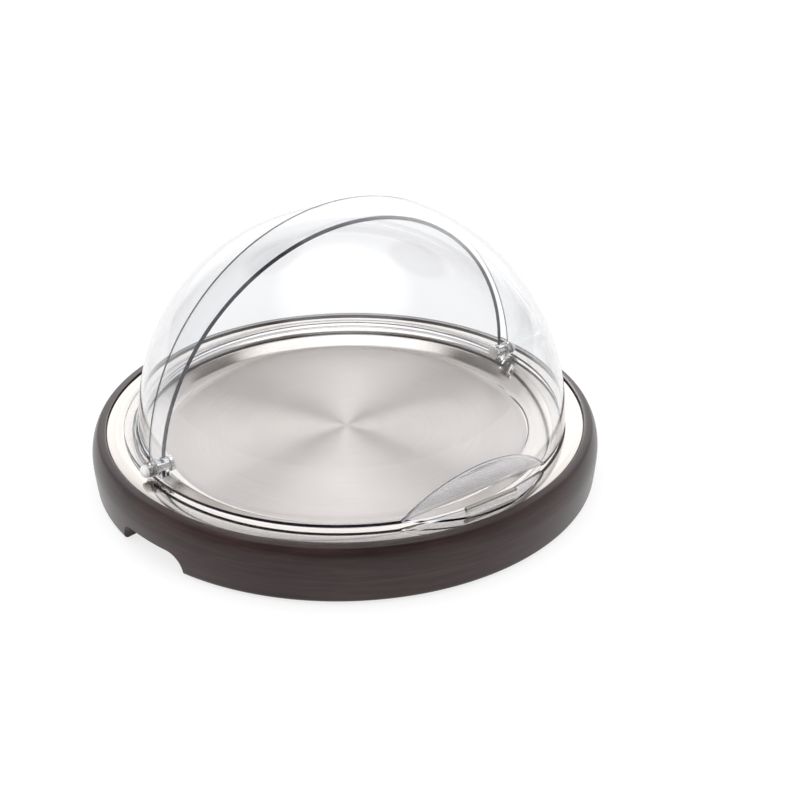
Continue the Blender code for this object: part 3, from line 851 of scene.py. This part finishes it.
def direction(elevation_deg, turn_deg):
    """A unit vector at an elevation, turned from straight behind the object as the camera sees it."""
    back = Vector((CAMERA_AIM.x - CAMERA_AT.x, CAMERA_AIM.y - CAMERA_AT.y, 0)).normalized()
    flat = Matrix.Rotation(math.radians(turn_deg), 3, "Z") @ back
    up = math.radians(elevation_deg)
    return flat * math.cos(up) + Vector((0, 0, math.sin(up)))


def glow(nodes, links, place, aim, inner_deg, outer_deg):
    """1 within inner_deg of a direction, falling smoothly to 0 at outer_deg."""
    dot = node(nodes, "ShaderNodeVectorMath", operation="DOT_PRODUCT")
    links.new(place, dot.inputs[0])
    dot.inputs[1].default_value = aim
    fade = node(nodes, "ShaderNodeMapRange", interpolation_type="SMOOTHSTEP")
    fade.inputs["From Min"].default_value = math.cos(math.radians(outer_deg))
    fade.inputs["From Max"].default_value = math.cos(math.radians(inner_deg))
    links.new(dot.outputs["Value"], fade.inputs["Value"])
    return fade.outputs["Result"]


def room_spot(nodes, links, place, aim, inner_deg, outer_deg, strength):
    """The brightness that one soft spot adds to the room."""
    shape = glow(nodes, links, place, direction(*aim), inner_deg, outer_deg)
    return math_node(nodes, links, "MULTIPLY", shape, strength)


def make_room():
    """A white room with a soft panel overhead, dark gaps beside it and a darker camera side."""
    world = bpy.data.worlds.new("studio")
    bpy.context.scene.world = world
    world.use_nodes = True
    nodes, links = world.node_tree.nodes, world.node_tree.links
    place = nodes.new("ShaderNodeTexCoord").outputs["Generated"]
    split = nodes.new("ShaderNodeSeparateXYZ")
    links.new(place, split.inputs[0])
    horizon = node(nodes, "ShaderNodeMapRange", interpolation_type="SMOOTHSTEP")
    horizon.inputs["From Min"].default_value = 0.0
    horizon.inputs["From Max"].default_value = math.sin(math.radians(HORIZON_FADE_DEG))
    links.new(split.outputs[2], horizon.inputs["Value"])
    side = room_spot(nodes, links, place, *CAMERA_SIDE)
    level = math_node(nodes, links, "MULTIPLY", side, horizon.outputs["Result"])
    for spot in ROOM_SPOTS:
        level = math_node(nodes, links, "ADD", level, room_spot(nodes, links, place, *spot))
    level = math_node(nodes, links, "ADD", level, ROOM_LEVEL)
    level = math_node(nodes, links, "MAXIMUM", level, ROOM_DARKEST)
    tint = ramp(nodes, links, level, [(0.05, (1.0, 0.78, 0.62)), (0.8, (1.0, 1.0, 1.0))])
    reflected = nodes["Background"]
    links.new(tint, reflected.inputs[0])
    links.new(level, reflected.inputs[1])
    even = nodes.new("ShaderNodeBackground")
    even.inputs[0].default_value = (1, 1, 1, 1)
    even.inputs[1].default_value = ROOM_DIFFUSE
    path = nodes.new("ShaderNodeLightPath")
    either = nodes.new("ShaderNodeMixShader")
    direct = math_node(nodes, links, "MAXIMUM", path.outputs["Is Camera Ray"], path.outputs["Is Diffuse Ray"])
    links.new(direct, either.inputs[0])
    links.new(reflected.outputs[0], either.inputs[1])
    links.new(even.outputs[0], either.inputs[2])
    links.new(either.outputs[0], nodes["World Output"].inputs["Surface"])


def make_floor():
    bm = bmesh.new()
    bmesh.ops.create_grid(bm, x_segments=1, y_segments=1, size=FLOOR_SIZE)
    surface, _, _, shader = new_surface("floor")
    shader.inputs["Base Color"].default_value = (FLOOR_GREY, FLOOR_GREY, FLOOR_GREY, 1)
    shader.inputs["Roughness"].default_value = 0.9
    shader.inputs["Emission Color"].default_value = (1, 1, 1, 1)
    shader.inputs["Emission Strength"].default_value = FLOOR_GLOW
    floor = add_object("floor", mesh_from_bmesh("floor", bm), surface)


def make_lamps():
    """A faint lamp overhead, and a strip behind the object that lights the wooden ring alone."""
    soft_light("overhead", OVERHEAD_AT, LAMPS_AIM, OVERHEAD_SIZE, OVERHEAD_WATTS).visible_glossy = False
    strip_at = direction(*STRIP_AIM) * STRIP_DISTANCE
    strip = soft_light("back_strip", strip_at, LAMPS_AIM, STRIP_SIZE, STRIP_WATTS)
    lit = bpy.data.collections.new("lit_by_back_strip")
    lit.objects.link(bpy.data.objects["base_ring"])
    strip.light_linking.receiver_collection = lit


wood_surface = dark_wood()
metal_surface = plain("fastener_steel", (0.62, 0.61, 0.60), 0.32, 1.0)
make_ring(wood_surface)
make_camera()
make_room()
make_floor()
make_lamps()
bpy.context.scene.view_settings.view_transform = "Standard"
make_feet(plain("foot_rubber", (0.028, 0.028, 0.028), 0.75))
make_board_screws(metal_surface)
frame["nodes"]["base_board"].material_slots[0].material = board_ply()
make_tray(steel("steel_turned", (0.79, 0.745, 0.72), 0.42, 0.52, 0.93, 1500.0, 0.03),
          steel("steel_polished", (0.70, 0.66, 0.63), 0.04, 0.12, 0.3, 300.0, 0.03))
clear = absorb(clear_plastic("clear_shell", (0.985, 0.988, 0.993), ripple=0.03), (0.70, 0.71, 0.74), 46.0)
# the cut edges and the bands beside them get painted shade, a dark colour for the light they trap
edge_shade = painted_edge_shade("clear_shell_edge_painted_shade")
# grip material: the facet's milky surface, also put on the bead as a painted highlight
facet_and_bead_highlight = clear_plastic("grip_facet_and_painted_bead_highlight", (0.98, 0.975, 1.0), haze=0.28, rough=0.18, ripple=0.05)
bar = clear_plastic("grip_bar", (0.42, 0.41, 0.36), haze=0.25, rough=0.10, ripple=0.05)
make_rear_shell(clear, edge_shade)
make_front_shell(clear, edge_shade, facet_and_bead_highlight, bar)
polished = plain("polished_steel", (0.80, 0.80, 0.80), 0.12, 1.0)
cap_plastic = plain("cap_plastic", (0.88, 0.89, 0.88), 0.25)
nylon_plastic = plain("nylon", (0.85, 0.85, 0.82), 0.45)
make_pivots(polished, cap_plastic, nylon_plastic, metal_surface)
